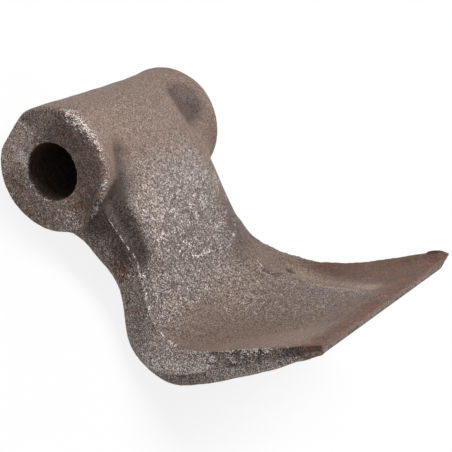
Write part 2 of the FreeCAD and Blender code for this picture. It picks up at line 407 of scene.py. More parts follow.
# %% Wear both tips of the cutting edge down to a slope
TIP_SLOPES = [
    {"side": -1.0, "across": 41.2, "lean": 3.0, "drop": 0.3},
    {"side": 1.0, "across": 42.5, "lean": 1.0, "drop": 3.0},
]
for tip in TIP_SLOPES:
    corner = in_space(bend_end) + BLADE_ALONG * BLADE_LENGTH - BLADE_UP * 0.3
    corner[1] = tip["side"] * tip["across"]
    slope = BLADE_ALONG + np.array([0.0, tip["side"] * tip["lean"], 0.0]) - BLADE_UP * tip["drop"]
    slope /= np.linalg.norm(slope)
    past = (points - corner) @ slope
    worn = (past > 0.0) & (along > 90.0) & (tip["side"] * points[:, 1] > 20.0)
    points[worn] -= past[worn, None] * slope
    print("tip at", corner[1], "mm: pressed", int(worn.sum()), "points, up to", round(past[worn].max(), 1), "mm")

FAR_TIP = (105.0, 40.8, -0.2)
points[:, 1] += 0.9 * spot(place, FAR_TIP, (2.5, 1.8, 1.6))

# %% [markdown]
# ## A boss that flares at both ends
#
# Steel that was squeezed out along the die makes the boss a little wider at its ends than in its middle. The moves
# go along the radius, so they are written with the angle round the pin hole.

# %% Flare the boss
BOSS_HALF = 31.2
TAPER_AT = [-31.0, -24.0, -15.0, -5.0, 5.0, 15.0, 25.0, 31.0]
TAPER_BY = [0.85, 0.8, 0.45, 0.1, -0.2, -0.4, -0.3, 0.2]

radius, angle = round_hole(points)
on_top = rise(angle, 50.0, 75.0)
flare_start = 25.0 - 7.0 * on_top
flare = 0.45 * rise(np.abs(points[:, 1]) - flare_start, 0.0, 7.0 + 3.0 * on_top)
upper_back = rise(angle, 85.0, 112.0) * fall(angle, 165.0, 179.0)
flare += (np.interp(points[:, 1], TAPER_AT, TAPER_BY) - flare) * upper_back
lower_back = rise(-angle, 85.0, 110.0) * fall(-angle, 160.0, 178.0)
flare += 0.4 * lower_back * rise(-points[:, 1], 20.0, 29.0)
flare *= rise(radius, 15.3, 16.3) * fall(radius, 17.9, 18.6)
points[:, 0] *= 1.0 + flare / np.maximum(radius, 5.0)
points[:, 2] *= 1.0 + flare / np.maximum(radius, 5.0)
print("boss flares by", round(flare.max(), 2), "mm")

# %% [markdown]
# ## A flat struck on the near rim, and a rim rubbed round
#
# At its back the near rim is struck flat. Where the rim faces up it is rubbed round. The flat is a plane too, but a
# little is left standing past it, so that its border stays soft.

# %% Strike the flat
FLAT_ANGLE = math.radians(185.5)
FLAT_RADIUS = 16.3
LEFT_STANDING = 0.45

flat_out = np.array([math.cos(FLAT_ANGLE), -0.3, math.sin(FLAT_ANGLE)])
flat_foot = np.array([FLAT_RADIUS * math.cos(FLAT_ANGLE), -BOSS_HALF, FLAT_RADIUS * math.sin(FLAT_ANGLE)])
past = (points - flat_foot) @ flat_out
struck = (past > 0.0) & (points[:, 1] < -22.0) & (np.abs(points[:, 2] + 0.5) < 9.0) & (points[:, 0] < 0.0)
taken = past - LEFT_STANDING * (1.0 - np.exp(-past / LEFT_STANDING))
points[struck] -= taken[struck, None] * flat_out / (flat_out @ flat_out)
print("flat on the near rim:", int(struck.sum()), "points")

# %% Round the near rim
BOSS_RADIUS = 17.9

rim_round = 0.7 + 1.4 * rise(angle, 15.0, 45.0) * fall(angle, 98.0, 128.0)
radius = round_hole(points)[0]
past_radius = radius - (BOSS_RADIUS - rim_round)
past_end = -points[:, 1] - (BOSS_HALF - rim_round)
gap = np.hypot(past_radius, past_end)
outside = (past_radius > 0) & (past_end > 0) & (gap > rim_round) & (radius < BOSS_RADIUS + 0.5)
shrink = np.where(outside, rim_round / np.maximum(gap, 1e-6), 1.0)
closer = (BOSS_RADIUS - rim_round + past_radius * shrink) / radius
points[outside, 0] *= closer[outside]
points[outside, 2] *= closer[outside]
points[outside, 1] = -(BOSS_HALF - rim_round + past_end * shrink)[outside]
print("rounded rim moved", int(outside.sum()), "points")

# %% [markdown]
# ## A forged, blasted surface
#
# Scale that flaked off in the die leaves shallow dents a few millimetres wide. Where the two die halves met, a thin
# line of squeezed steel, the flash, was trimmed off and left a ragged little ridge. Both are moved in the geometry,
# so that outlines and highlights waver a little. Finer grit comes later, from the material.

# %% Roughen the skin
normals = outward()
along, across, above = forging_place(points).T
forged = 1.0 - np.maximum(rise(along, 102.5, 104.0), fall(radius, 8.6, 9.4))
calm = 1.0 - 0.7 * rise(across, 14.0, 26.0)
dents = (0.09 * lumps(points, 8.0, 1) + 0.035 * lumps(points, 2.6, 2) + 0.014 * lumps(points, 1.2, 3)) * calm

side_face = rise(np.abs(normals[:, 1]), 0.35, 0.75)
ragged = np.clip(0.6 + 0.9 * lumps(points, 1.6, 4), 0.0, 1.0)
flash_ridge = bell(above, -0.35, 0.5) * side_face * rise(along, 12.0, 20.0) * forged
near_blade_side = side_face * rise(along, 50.0, 58.0) * rise(-across, 30.0, 36.0)
dents += 0.06 * near_blade_side * lumps(points, 1.5, 5)
points = points + normals * ((dents - 0.04) * forged + 0.12 * flash_ridge * ragged * calm)[:, None]
points = np.clip(points, np.array(cad_low) / MM, np.array(cad_high) / MM)
normals = outward()
print("rough skin is within", [round(v, 2) for v in (*points.min(axis=0), *points.max(axis=0))])

# %% [markdown]
# ## Wear and painted light on the skin
#
# Dirt settles in hollows, and edges rub bright. Painted shade darkens the hollows too, and a painted highlight lies
# on the near rim. A number for each kind of wear and painted light is stored on every point: how dark, how bright,
# how rusty and how smooth the skin is there. The material reads these and breaks them up with grain.
# An image would do the same with far more data, and would have to be unwrapped.

# %% Parts of the forging that the paint keeps to
place = forging_place(points)
along, across, above = place.T
radius, angle = round_hole(points)
over_ridge = above - np.interp(along, HEEL_ALONG, HEEL_RIDGE)

near_end = rise(-points[:, 1], 29.6, 30.9) * rise(18.5 - radius, 0.0, 0.5)
side_wall = rise(-normals[:, 1], 0.45, 0.8) * rise(along, 10.0, 18.0) * rise(-across, 23.0, 26.0) * (1.0 - near_end)
top_face = rise(above, -3.0, -2.0) * (1.0 - side_wall)
heel_face = side_wall * rise(along, 50.0, 56.0) * fall(along, 64.0, 72.0)
lower_wall = rise(-over_ridge, 0.0, 0.7)
backward = rise(-points[:, 0], 7.0, 12.0)
blotch = lumps(points, 3.2, 6)
small_blotch = lumps(points, 1.5, 7)

hollowness = ((neighbour_mean(points) - points) * normals).sum(axis=1)[:, None] / SKIN_GRID
hollowness = relax(hollowness, 3)[:, 0]
print("hollowness from", round(hollowness.min(), 3), "to", round(hollowness.max(), 3))


def facing(towards):
    """How far each point lies toward an angle round the pin hole, from -1 to 1."""
    return np.cos(np.radians(angle - towards))


def store(name, values, low=0.0, high=1.0):
    """Stores one number for each point, for the material to read."""
    values = np.clip(values, low, high)
    layer = skin.attributes.new(name, "FLOAT", "POINT")
    layer.data.foreach_set("value", values.astype(np.float32))
    print(name, "is", round(float(values.mean()), 3), "on average")


# %% [markdown]
# ### Dark: dirt, scale and painted shade
#
# Blasting doesn't reach into a hollow, so the dark scale of the forge is left there, and painted shade darkens the
# hollows further. The near wall is darkest under the neck and, with painted shade, below the heel ridge, and the near
# boss end is darker at its upper right.

# %% Paint the dark places
NECK_SHADE = [(15.0, -27.4, 1.2), (19.0, -26.6, 1.8), (23.2, -25.8, 2.0), (27.6, -25.9, 1.6), (31.0, -26.3, 1.0)]
NECK_CORNER = [(16.5, -28.2, -0.4), (22.0, -28.0, -0.2), (28.0, -27.4, 0.2)]
WALL_TOP = [(31.0, -26.3, 1.0), (36.0, -27.0, 0.7), (43.0, -28.8, 0.2), (50.0, -33.0, -0.3)]
PATCH_EDGE_SHADE = [(53.4, 20.6, -0.1), (56.0, 22.0, -0.7), (57.4, 25.6, -1.3)]
BEND_SHADE = [(44.0, 12.0, 2.0), (52.0, 17.0, 0.5), (60.0, 18.0, -1.0)]
WING_SHADE = [(58.0, 37.4, -0.3), (62.0, 37.6, -0.4), (67.6, 36.2, -0.6), (74.4, 32.8, -1.1), (81.9, 27.6, -1.4)]
RIM_RUB_AND_HIGHLIGHT = [
    (-6.5, -29.9, 16.2), (-3.7, -30.0, 17.0), (0.6, -30.2, 17.3), (5.2, -30.0, 16.5), (8.5, -30.2, 15.0),
    (11.7, -30.5, 12.8), (14.1, -30.8, 9.8), (15.5, -30.8, 6.8),
]

# Hollows: the near groove, the far dish, the neck and the corner between neck and boss. All but the far dish carry
# painted shade as well as dark scale.
dirt_and_shade = 0.68 * stroke(points, NEAR_GROOVE, 4.0)
dirt_and_shade += 0.7 * np.minimum(2.2 * spot(points, (3.0, 20.2, 16.2), (7.0, 5.4, 6.0)), 1.0)
dirt_and_shade += 1.4 * stroke(place, NECK_SHADE, 3.8) * (1.0 - 0.25 * near_end)
dirt_and_shade += 0.75 * stroke(place, NECK_CORNER, 1.5)
dirt_and_shade += 0.75 * spot(points, (18.0, -29.5, -1.0), (4.0, 3.0, 4.8))

# The near wall, and the side of the blade above the heel ridge.
dirt_and_shade += 0.5 * stroke(place, WALL_TOP, 1.9) * (1.0 - 0.5 * rise(along, 36.0, 50.0))
dirt_and_shade += 0.4 * side_wall * fall(along, 28.0, 37.0) * (1.0 - 0.3 * rise(-above, 5.0, 9.0))
dirt_and_shade += 0.18 * side_wall * fall(along, 44.0, 54.0)
# Painted shade below the heel ridge.
dirt_and_shade += 0.6 * side_wall * lower_wall * rise(along, 48.0, 55.0) * (1.0 - 0.8 * rise(along, 62.0, 80.0))
dirt_and_shade += 0.4 * side_wall * spot(place, (62.5, -40.8, -1.2), (3.0, 2.0, 0.9))
blade_side = near_blade_side * rise(along, 66.0, 72.0) * rise(over_ridge, -0.6, 0.4) * fall(along, 98.6, 101.6)
dirt_and_shade += blade_side * (0.68 + 0.35 * blotch + 0.15 * rise(along, 92.0, 96.0))

# The near boss end.
upper_right = rise(facing(90.0), -0.3, 0.9)
dirt_and_shade += near_end * (0.25 + 0.38 * upper_right + 0.12 * blotch - 0.16 * backward)
dirt_and_shade += near_end * 0.4 * spot(points, (-14.3, -31.2, 6.0), (2.4, 2.0, 2.6))

# The top face: painted shade in the torn dent and along the patch's lower edge, and in the bend and along the wing.
dirt_and_shade += 0.9 * spot(place, (57.2, 31.6, -1.7), (1.6, 0.9, 1.6))
dirt_and_shade += 0.95 * stroke(place, PATCH_EDGE_SHADE, 0.7)
dirt_and_shade += (0.3 + 0.2 * blotch) * stroke(place, BEND_SHADE, 3.6)
dirt_and_shade += 0.42 * stroke(place, WING_SHADE, 2.4)
dirt_and_shade += 0.35 * rise(across - 40.4, 0.0, 1.0) * rise(along, 64.0, 70.0) * rise(above, -2.5, -1.0)
dirt_and_shade += 1.8 * bell(along, 100.6, 2.7) * rise(across, 39.4, 40.6) * rise(above, 0.3, 1.0)

# Painted shade on the wall of the hole and in every small hollow. The rubbed and highlit rim is kept lighter.
dirt_and_shade += 0.6 * fall(radius, 8.0, 8.5)
dirt_and_shade += np.clip(hollowness * 6.0, 0.0, 0.25)
rubbed_and_lit_rim = stroke(points, RIM_RUB_AND_HIGHLIGHT, 1.5)
dirt_and_shade *= 1.0 - 0.6 * rubbed_and_lit_rim
store("dark", dirt_and_shade)

# %% [markdown]
# ### Painted shade in the pin hole
#
# In the photograph the hole is black but for a glow just inside its lower lip. The mask is 0 at the mouth and 1
# deeper in, and starts deeper where light falls in.

# %% Paint the depth of the pin hole
MOUTH = 31.1
HOLE_WALL = (8.05, 8.45)

glow_depth = 0.5 + 3.4 * rise(facing(-72.0), 0.35, 0.98)
depth = rise((MOUTH + points[:, 1]) / glow_depth, 0.2, 1.5) * rise(MOUTH - points[:, 1], 0.0, 0.6)
# Deeper in, the hole is painted as unlit black shade.
store("bore", depth * fall(radius, *HOLE_WALL))

# %% [markdown]
# ### Bright: bare metal where the forging was rubbed, and painted highlight
#
# Rims and ridges rub against other forgings in the crate, and scratches cut through the scale. On the upper near rim
# the bright is partly a painted highlight. Blotches break the bright places up, so that they are flecks and not a
# coat.

# %% Paint the rubbed places
PATCH_LIGHT = [(46.0, 23.4, 0.9), (50.0, 21.8, 0.3), (53.0, 21.3, 0.0), (55.9, 22.9, -0.7)]
END_SCRATCH = [(-15.7, -31.2, 3.6), (-13.0, -31.2, 2.9), (-9.6, -31.2, 3.9), (-8.9, -31.2, 4.4)]
WALL_SCRATCH = [(33.3, -29.0, -8.2), (36.0, -28.6, -5.2), (38.4, -28.1, -2.9)]
LOWER_RIM = [(15.3, -30.9, 4.5), (16.3, -30.8, 1.0)]
WEB_CORNER = [(35.0, -26.5, 0.8), (44.0, -28.0, 0.6), (52.0, -33.0, 0.3), (60.0, -38.0, 0.0)]
WEB_NICK = [(41.8, -6.4, 0.1), (42.0, -3.0, 0.2), (42.2, 1.1, 0.0)]
BEND_NICK = [(58.5, -9.5, -2.4), (60.0, -9.8, -1.9)]

# The near rim of the boss: rubbed bare, with a painted highlight that is strongest at the top.
rim_wear_and_highlight = 0.5 + 0.5 * small_blotch + 0.34 * rise(angle, 70.0, 90.0) - 0.36 * bell(angle, 50.0, 15.0)
wear_and_highlight = rim_wear_and_highlight * stroke(points, RIM_RUB_AND_HIGHLIGHT, 0.57 + 0.45 * rise(angle, 60.0, 95.0))
wear_and_highlight += (0.55 + 0.6 * small_blotch) * spot(points, (-3.0, -29.4, 17.2), (6.0, 1.9, 2.0))
wear_and_highlight += (0.2 + 0.4 * small_blotch) * stroke(points, LOWER_RIM, 1.5)

# The near boss end: a nick beside the hole, its lip, a scratch and flecks low down.
wear_and_highlight += 0.95 * spot(points, (-9.2, -31.2, -4.2), (2.6, 1.5, 1.2))
wear_and_highlight += 1.5 * spot(points, (-7.8, -31.2, -4.9), (1.1, 1.5, 1.0))
wear_and_highlight += (0.26 + 0.3 * small_blotch) * near_end * bell(radius, 8.8, 0.4) * rise(facing(-85.0), 0.2, 0.8)
wear_and_highlight += 0.75 * stroke(points, END_SCRATCH, 0.3)
wear_and_highlight += (0.38 + 0.5 * small_blotch) * spot(points, (11.8, -31.2, -6.0), (4.0, 1.5, 4.4))
wear_and_highlight += (0.12 + 0.4 * small_blotch) * near_end * rise(-facing(62.0), 0.1, 0.7)

# The near wall, the heel and the side of the blade. The heel is painted paler.
wear_and_highlight += 0.5 * stroke(points, WALL_SCRATCH, 0.5)
wear_and_highlight += (0.85 + 0.45 * small_blotch) * spot(place, (62.5, -40.8, -5.2), (7.5, 3.0, 2.8)) * rise(over_ridge, -0.2, 0.6)
wear_and_highlight += 0.35 * side_wall * bell(over_ridge, 0.25, 0.35) * rise(along, 50.0, 54.0) * fall(along, 68.0, 72.0)
wear_and_highlight += 0.5 * heel_face * rise(over_ridge, -0.1, 0.5) * fall(over_ridge, 0.6, 6.0)
flecked = near_blade_side * rise(along, 62.0, 68.0) * fall(along, 90.0, 96.0) * rise(over_ridge, 0.0, 1.0)
wear_and_highlight += np.clip(0.2 + 0.7 * small_blotch + 0.3 * blotch, 0.0, 0.85) * flecked

# The top face: the web, the patch border and a few nicks.
web_middle = rise(along, 12.0, 22.0) * fall(along, 38.0, 54.0) * fall(np.abs(across), 18.0, 24.0)
wear_and_highlight += (0.12 + 0.35 * blotch) * top_face * web_middle
wear_and_highlight += (0.2 + 0.3 * small_blotch) * stroke(place, WEB_CORNER, 2.0)
wear_and_highlight += 0.5 * stroke(place, PATCH_LIGHT, 0.4)
wear_and_highlight += 0.7 * stroke(points, WEB_NICK, 0.4) + 0.7 * stroke(points, BEND_NICK, 0.5)
wear_and_highlight += 0.7 * spot(place, (84.5, -1.0, -1.8), (0.6, 1.0, 1.0)) + 0.7 * spot(place, (86.5, -0.5, -1.8), (0.6, 1.2, 1.0))
wear_and_highlight += np.clip(-hollowness * 3.0, 0.0, 0.25) * fall(along, 98.0, 103.0)
store("bright", wear_and_highlight)

# %% [markdown]
# ### Rust
#
# Rust sits past the fold on the far wing, along the cutting edge, and in stains on the boss end and the near wall.
# The band along the edge itself is made in the material, because it has to be finer than the skin's points.

# %% Paint the rust
WING_LINE_ALONG = [52.0, 57.0, 64.3, 75.1, 85.5, 92.0, 105.0]
WING_LINE_ACROSS = [34.5, 32.4, 30.4, 24.5, 18.6, 15.5, 4.0]
STAINS = [
    (0.75, points, (-2.5, -31.2, 12.0), (4.2, 1.5, 2.6)),
    (0.95, points, (12.4, -31.2, 1.0), (3.0, 1.5, 5.0)),
    (0.45, points, (-7.0, -31.2, -12.5), (4.2, 1.5, 2.2)),
    (0.8, place, (32.0, -28.5, -4.5), (4.2, 2.0, 2.8)),
]

past_fold = across - np.interp(along, WING_LINE_ALONG, WING_LINE_ACROSS)
tip_facet = rise(along - 0.9 * above, 99.6, 103.4) * rise(-across, 39.5, 41.0)
hole_wall = fall(radius, 8.3, 8.6)
stain = sum(weight * spot(where, centre, reach) for weight, where, centre, reach in STAINS)
rusting = 0.82 * rise(past_fold, 4.0, 9.0) * rise(along, 57.0, 66.0) * top_face
rusting += 0.25 * rise(along, 90.0, 100.0) * rise(across, -18.0, 16.0) * top_face
rusting += stain * (0.95 + 0.5 * small_blotch) + 0.3 * hole_wall
rusting += 0.3 * spot(place, (46.0, -33.5, -4.5), (4.0, 3.0, 2.5))
rusting += 0.7 * spot(place, (85.1, -19.0, -2.0), (1.2, 3.2, 1.0))
rusting += 0.55 * tip_facet
store("rust", rusting)

# %% [markdown]
# ### Smooth and brown
#
# Where steel slid along the die, the skin is smooth and keeps its brown film: the boss's back, the far side of the
# web, the wing and the rims of the blade. Everywhere else the blasting left it rough and grey.

# %% Paint how smooth and how brown the skin is
far_rim = rise(points[:, 1], 24.5, 29.5) * fall(angle, 60.0, 95.0)
boss_back = fall(along, 0.0, 21.0) * (1.0 - near_end) * (1.0 - 0.6 * far_rim)
far_band = rise(across, 9.0, 20.0) * fall(along, 46.0, 52.0) * rise(along, 0.0, 12.0)
rim_band = rise(np.abs(across), 32.0, 37.0) * rise(along, 58.0, 68.0) * rise(above, -3.5, -2.5)
wing = rise(past_fold, 0.0, 4.0) * rise(along, 56.0, 64.0) * rise(above, -3.5, -2.5)

slid = 0.8 * boss_back + 0.75 * far_band + 0.8 * rim_band + 0.75 * wing + 0.9 * patch_plateau
slid += 0.7 * stroke(points, NEAR_GROOVE, 4.6) + 1.1 * spot(points, (2.6, 20.0, 16.4), (9.0, 8.0, 8.0))
slid += 0.85 * rise(across, 24.0, 31.0) * rise(along, 42.0, 48.0)
slid += 0.3 * rise(along, 42.0, 58.0) * fall(past_fold, -9.0, -3.0)
slid += 0.75 * rise(past_fold, -3.0, 0.5) * rise(along, 58.0, 66.0)
slid += 0.35 * rise(along, 78.0, 98.0) + 0.42 * rise(-across, 0.0, 20.0) * rise(along, 48.0, 58.0)
slid *= 1.0 - side_wall
slid += 0.4 * near_end + 1.2 * tip_facet + 1.2 * hole_wall
store("smooth", slid)

film = 0.8 * boss_back + 0.9 * far_band + 0.9 * wing + 0.9 * patch_plateau + 0.2 * rim_band
film += (0.62 + 0.25 * upper_right - 0.35 * backward) * near_end
film += 0.65 * rise(along, 44.0, 60.0) * top_face + 0.35 * rise(along, 24.0, 40.0) * top_face
film += 0.4 * side_wall * fall(along, 40.0, 52.0) + 1.0 * spot(points, (3.4, 20.6, 16.2), (8.0, 7.0, 7.0))
store("brown", film)

# %% [markdown]
# ### Tone
#
# One number makes the steel lighter or darker as a whole. It changes along the path, and differs on the walls and
# the boss end. Beside the fold's crest and on the rubbed near rim it is raised as painted light.

# %% Paint the tone
TONE_ALONG = [2.0, 12.0, 24.0, 38.0, 50.0, 66.0, 92.0, 104.0]
TONE = [1.03, 0.94, 0.79, 0.63, 0.65, 0.79, 0.89, 0.89]
WALL_TONE = 1.12
FAR_SHOULDER = [(44.0, 38.0, -1.0), (50.0, 38.5, -1.0), (57.0, 36.5, -1.0)]

tone = np.interp(along, TONE_ALONG, TONE)
tone *= 1.0 - 0.30 * rise(across, 8.0, 20.0) * rise(along, 24.0, 32.0) * fall(along, 42.0, 48.0)
tone *= 1.0 + 0.22 * stroke(place, FAR_SHOULDER, 3.0)
tone += (WALL_TONE - tone) * side_wall
tone += side_wall * (0.3 * rise(along, 48.0, 54.0) + 0.75 * spot(place, (62.5, -40.8, -5.0), (8.0, 3.0, 3.0)))
near_web = rise(-across, 10.0, 16.0) * rise(along, 12.0, 18.0) * fall(along, 26.0, 36.0) * top_face
tone *= 1.0 + 0.36 * near_web
# Painted light on the wing beside the fold's crest.
fold_side_light = rise(past_fold, -0.6, 0.8) * fall(past_fold, 3.0, 6.0) * rise(along, 57.0, 61.0) * fall(along, 88.0, 96.0)
tone *= 1.0 + 0.34 * fold_side_light
end_tone = 1.42 - 0.34 * upper_right - 0.16 * rise(-points[:, 2], 2.0, 12.0) + 0.42 * backward
tone += (end_tone - tone) * near_end
tone *= 1.0 - 0.13 * rise(across, -6.0, 4.0) * rise(along, 56.0, 64.0) * fall(past_fold, -4.0, 0.0) * top_face
tone *= 1.0 + 0.36 * rise(-across, 10.0, 24.0) * rise(along, 62.0, 74.0) * top_face
tone *= 1.0 + 0.6 * heel_face * rise(over_ridge, -0.1, 0.5)
# Painted highlight on the rubbed near rim.
tone *= 1.0 + 0.15 * rubbed_and_lit_rim
tone *= 1.0 - 0.04 * rise(past_fold, 4.0, 9.0) * rise(along, 60.0, 70.0)
tone *= 1.0 - 0.14 * boss_back * rise(points[:, 1], 20.0, 30.0) * fall(angle, 85.0, 105.0)
store("tone", tone, 0.3, 2.0)

# %% [markdown]
# ### Two fine lines
#
# The crest of the fold carries a thin painted highlight, and the trimmed flash is a thin light line along the near
# wall. Both are thinner than the skin's faces. So each point stores its distance to the line, and the material draws
# the line from that.

# %% Distance to the fold's crest
FOLD_LIGHT = [
    (58.5, 31.2, -1.7), (61.1, 30.4, -1.7), (64.4, 28.9, -1.8), (71.0, 25.0, -2.0), (79.7, 19.8, -2.0),
    (87.7, 16.9, -2.0), (91.0, 16.5, -1.9),
]
FOLD_REACH = 1.8

fold_near = np.maximum(stroke(place, FOLD_LIGHT, FOLD_REACH), 1e-6)
fold_gap = np.clip(-np.log(fold_near), 0.0, 9.0) ** 0.5 * 2.0
fold_gap *= 1.0 - 0.6 * rise(past_fold, -0.8, 0.6)
store("fold_gap", fold_gap, 0.0, 6.0)

# %% Height above the flash line, found where the near wall turns over
wall_turn = relax(-normals[:, 1:2], 1)[:, 0]
turn_level = np.interp(along, [15.0, 33.0, 42.0], [0.82, 0.80, 0.55])
on_line = (np.abs(wall_turn - turn_level) < 0.2) & (across < -24.0) & (above > -2.6) & (above < 0.9)
line_along = np.arange(15.0, 99.0, 2.0)
line_above = [float(np.median(above[on_line & (np.abs(along - s) < 1.5)])) for s in line_along]
line_above = np.convolve(np.pad(line_above, 1, mode="edge"), [0.25, 0.5, 0.25], mode="valid")
print("flash line from", round(line_above[0], 2), "to", round(line_above[-1], 2), "mm above the parting line")
store("crest", above - np.interp(along, line_along, line_above), -90.0, 90.0)

flash = rise(-across, 24.5, 26.5) * rise(-normals[:, 1], 0.15, 0.4) * rise(along, 15.5, 18.0) * fall(along, 94.0, 98.0)
flash *= np.clip(0.62 + 0.6 * small_blotch + 0.25 * rise(along, 36.0, 44.0) * fall(along, 44.0, 50.0), 0.0, 1.0)
store("flash", flash)

# %% Store the place on the forging too, and shade the skin smooth
place_layer = skin.attributes.new("forging_place", "FLOAT_VECTOR", "POINT")
place_layer.data.foreach_set("vector", place.astype(np.float32).ravel())
bpy.ops.object.select_all(action="DESELECT")
forging.select_set(True)
bpy.context.view_layer.objects.active = forging
bpy.ops.object.shade_smooth()
print("painted:", ", ".join(name for name in skin.attributes.keys() if not name.startswith(".")))

# %% [markdown]
# ## Shader maths as plain expressions
#
# Masks are easier to read as sums and products than as a web of nodes. A small class wraps a node's output, and its
# operators add the Math nodes. Every other node comes from one method.


# %% A value that can be calculated with
class Value:
    """One output of a node, with the arithmetic that masks need."""

    def __init__(self, finish, output):
        self.finish = finish
        self.output = output

    def calculate(self, operation, first, second=0.0):
        """Adds one Math node."""
        return self.finish.node("ShaderNodeMath", {"operation": operation}, {0: first, 1: second})

    def __add__(self, other):
        return self.calculate("ADD", self, other)

    def __sub__(self, other):
        return self.calculate("SUBTRACT", self, other)

    def __rsub__(self, other):
        return self.calculate("SUBTRACT", other, self)

    def __mul__(self, other):
        return self.calculate("MULTIPLY", self, other)

    __radd__ = __add__
    __rmul__ = __mul__

    def size(self):
        """This value without its sign."""
        return self.calculate("ABSOLUTE", self)

    def larger(self, other):
        """The larger of this and another value."""
        return self.calculate("MAXIMUM", self, other)

    def step(self, low, high):
        """0 below low and 1 above high, with a soft step between."""
        settings = {"interpolation_type": "SMOOTHSTEP", "clamp": True}
        return self.finish.node("ShaderNodeMapRange", settings, {"Value": self, "From Min": low, "From Max": high})


# %% A finish that makes nodes
class Finish:
    """A node tree, and the one way in which nodes are made in it."""

    def __init__(self, tree):
        self.tree = tree
        tree.nodes.clear()

    def node(self, kind, settings=None, sockets=None, output=0):
        """Makes a node, sets it up first, then fills its sockets with values or links."""
        made = self.tree.nodes.new(kind)
        for name, value in (settings or {}).items():
            setattr(made, name, value)
        for name, value in (sockets or {}).items():
            if isinstance(value, Value):
                self.tree.links.new(value.output, made.inputs[name])
            else:
                made.inputs[name].default_value = value
        return Value(self, made.outputs[output]) if made.outputs else made

    def mix(self, share, first, second, blend="MIX"):
        """Mixes two colours."""
        settings = {"data_type": "RGBA", "blend_type": blend, "clamp_factor": True}
        return self.node("ShaderNodeMix", settings, {0: share, 6: first, 7: second}, output=2)

    def scaled(self, colour, by):
        """A colour made lighter or darker."""
        return self.node("ShaderNodeVectorMath", {"operation": "SCALE"}, {0: colour, "Scale": by})

    def stretched(self, vector, by):
        """A vector with each axis multiplied by its own number."""
        return self.node("ShaderNodeVectorMath", {"operation": "MULTIPLY"}, {0: vector, 1: by})

    def cells(self, where, scale):
        """Voronoi cells, each with a random colour."""
        sockets = {"Vector": where, "Scale": scale}
        return self.node("ShaderNodeTexVoronoi", {"feature": "F1"}, sockets, output="Color")

    def clouds(self, where, scale, detail, roughness):
        """Soft noise round 0."""
        sockets = {"Vector": where, "Scale": scale, "Detail": detail, "Roughness": roughness}
        return self.node("ShaderNodeTexNoise", {}, sockets) - 0.5

    def channel(self, colour, number):
        """One channel of a colour."""
        return self.node("ShaderNodeSeparateColor", {"mode": "RGB"}, {"Color": colour}, output=number)

    def painted(self, name):
        """A number painted on the skin."""
        return self.node("ShaderNodeAttribute", {"attribute_name": name}, output="Fac")


# %% [markdown]
# ## Forged steel
#
# Shot-blasted forging steel is a dull grey-brown with a salt-and-pepper grain: tiny facets that catch the light
# next to tiny dark pits. Cells of a Voronoi texture about a quarter of a millimetre wide, each with its own random
# value, look like that. Finer cells and a softer noise keep them from being too even.

# %% Grain, from the finest to the widest
steel = bpy.data.materials.new("forged_steel_skin")
steel.use_nodes = True
finish = Finish(steel.node_tree)

here = finish.node("ShaderNodeTexCoord", output="Object")
where = finish.node("ShaderNodeMapping", {"vector_type": "POINT"}, {"Vector": here})
cell = finish.cells(where, 4400.0)
cell_value = finish.channel(cell, 0)
fine_value = finish.channel(finish.cells(where, 6400.0), 0)
grit = finish.clouds(where, 3600.0, 1.0, 0.5)
clumped = finish.clouds(where, 700.0, 3.0, 0.6)
mottled = finish.clouds(where, 420.0, 4.0, 0.65)
patched = finish.clouds(where, 75.0, 3.0, 0.55)
grain = (cell_value * cell_value - 0.33) * 1.2 + (fine_value - 0.5) * 0.9 + grit * 0.6

# %% What is painted on the skin, and noise drawn out along or across the path
dark = finish.painted("dark")
bright = finish.painted("bright")
smooth = finish.painted("smooth")
fold_gap = finish.painted("fold_gap")
path_place = finish.node("ShaderNodeAttribute", {"attribute_name": "forging_place"}, output="Vector")
along_path, across_path, above_path = (
    finish.node("ShaderNodeSeparateXYZ", {}, {"Vector": path_place}, output=axis) for axis in range(3)
)
streak = finish.clouds(finish.stretched(path_place, (0.16, 0.8, 0.8)), 1.0, 4.0, 0.65)
edge_blot = finish.clouds(finish.stretched(path_place, (1.1, 0.24, 1.1)), 1.0, 4.0, 0.7)
score = finish.clouds(finish.stretched(path_place, (0.0, 2.6, 0.7)), 1.0, 2.0, 0.6)
rough_share = 1.0 - (smooth + patched * 0.6 + mottled * 0.3).step(0.05, 0.95) * 0.8

# %% Colours of forged steel
BROWN = (0.240, 0.166, 0.131, 1.0)
GREY = (0.268, 0.219, 0.193, 1.0)
DARK_SCALE_AND_SHADE = (0.052, 0.035, 0.028, 1.0)
RUST_DARK = (0.118, 0.064, 0.048, 1.0)
RUST_LIGHT = (0.262, 0.110, 0.062, 1.0)
PIT = (0.250, 0.200, 0.170, 1.0)
PALE = (0.765, 0.702, 0.656, 1.0)
FOLD_TAN_AND_LIGHT = (0.395, 0.298, 0.236, 1.0)
UMBER = (0.224, 0.141, 0.104, 1.0)
GROUND = (0.160, 0.127, 0.110, 1.0)

# %% [markdown]
# ### Where the material keeps to the edge and the fold
#
# The ground face is the last third of a millimetre of the path, and its upper border has rusted over. The rust band
# ends raggedly some millimetres behind it. Wing rust and band are one mask, so that they never add up.

# %% Masks along the edge and the fold
ground_top = (above_path + edge_blot * 1.6).step(-2.0, -1.2)
ground_face = along_path.step(EDGE - 0.30, EDGE - 0.12) * (1.0 - ground_top * 0.8)
not_ground = 1.0 - ground_face
rust_band = (along_path + edge_blot * 7.0).step(EDGE - 10.0, EDGE - 2.5) * above_path.step(-2.2, -1.6) * not_ground
rust = finish.painted("rust")
streaked_rust = rust + streak * 4.6 * rust.step(0.0, 0.3) + mottled * 0.6
rust_share = streaked_rust.larger(rust_band * (1.1 + edge_blot * 4.0)).step(0.12, 0.9)
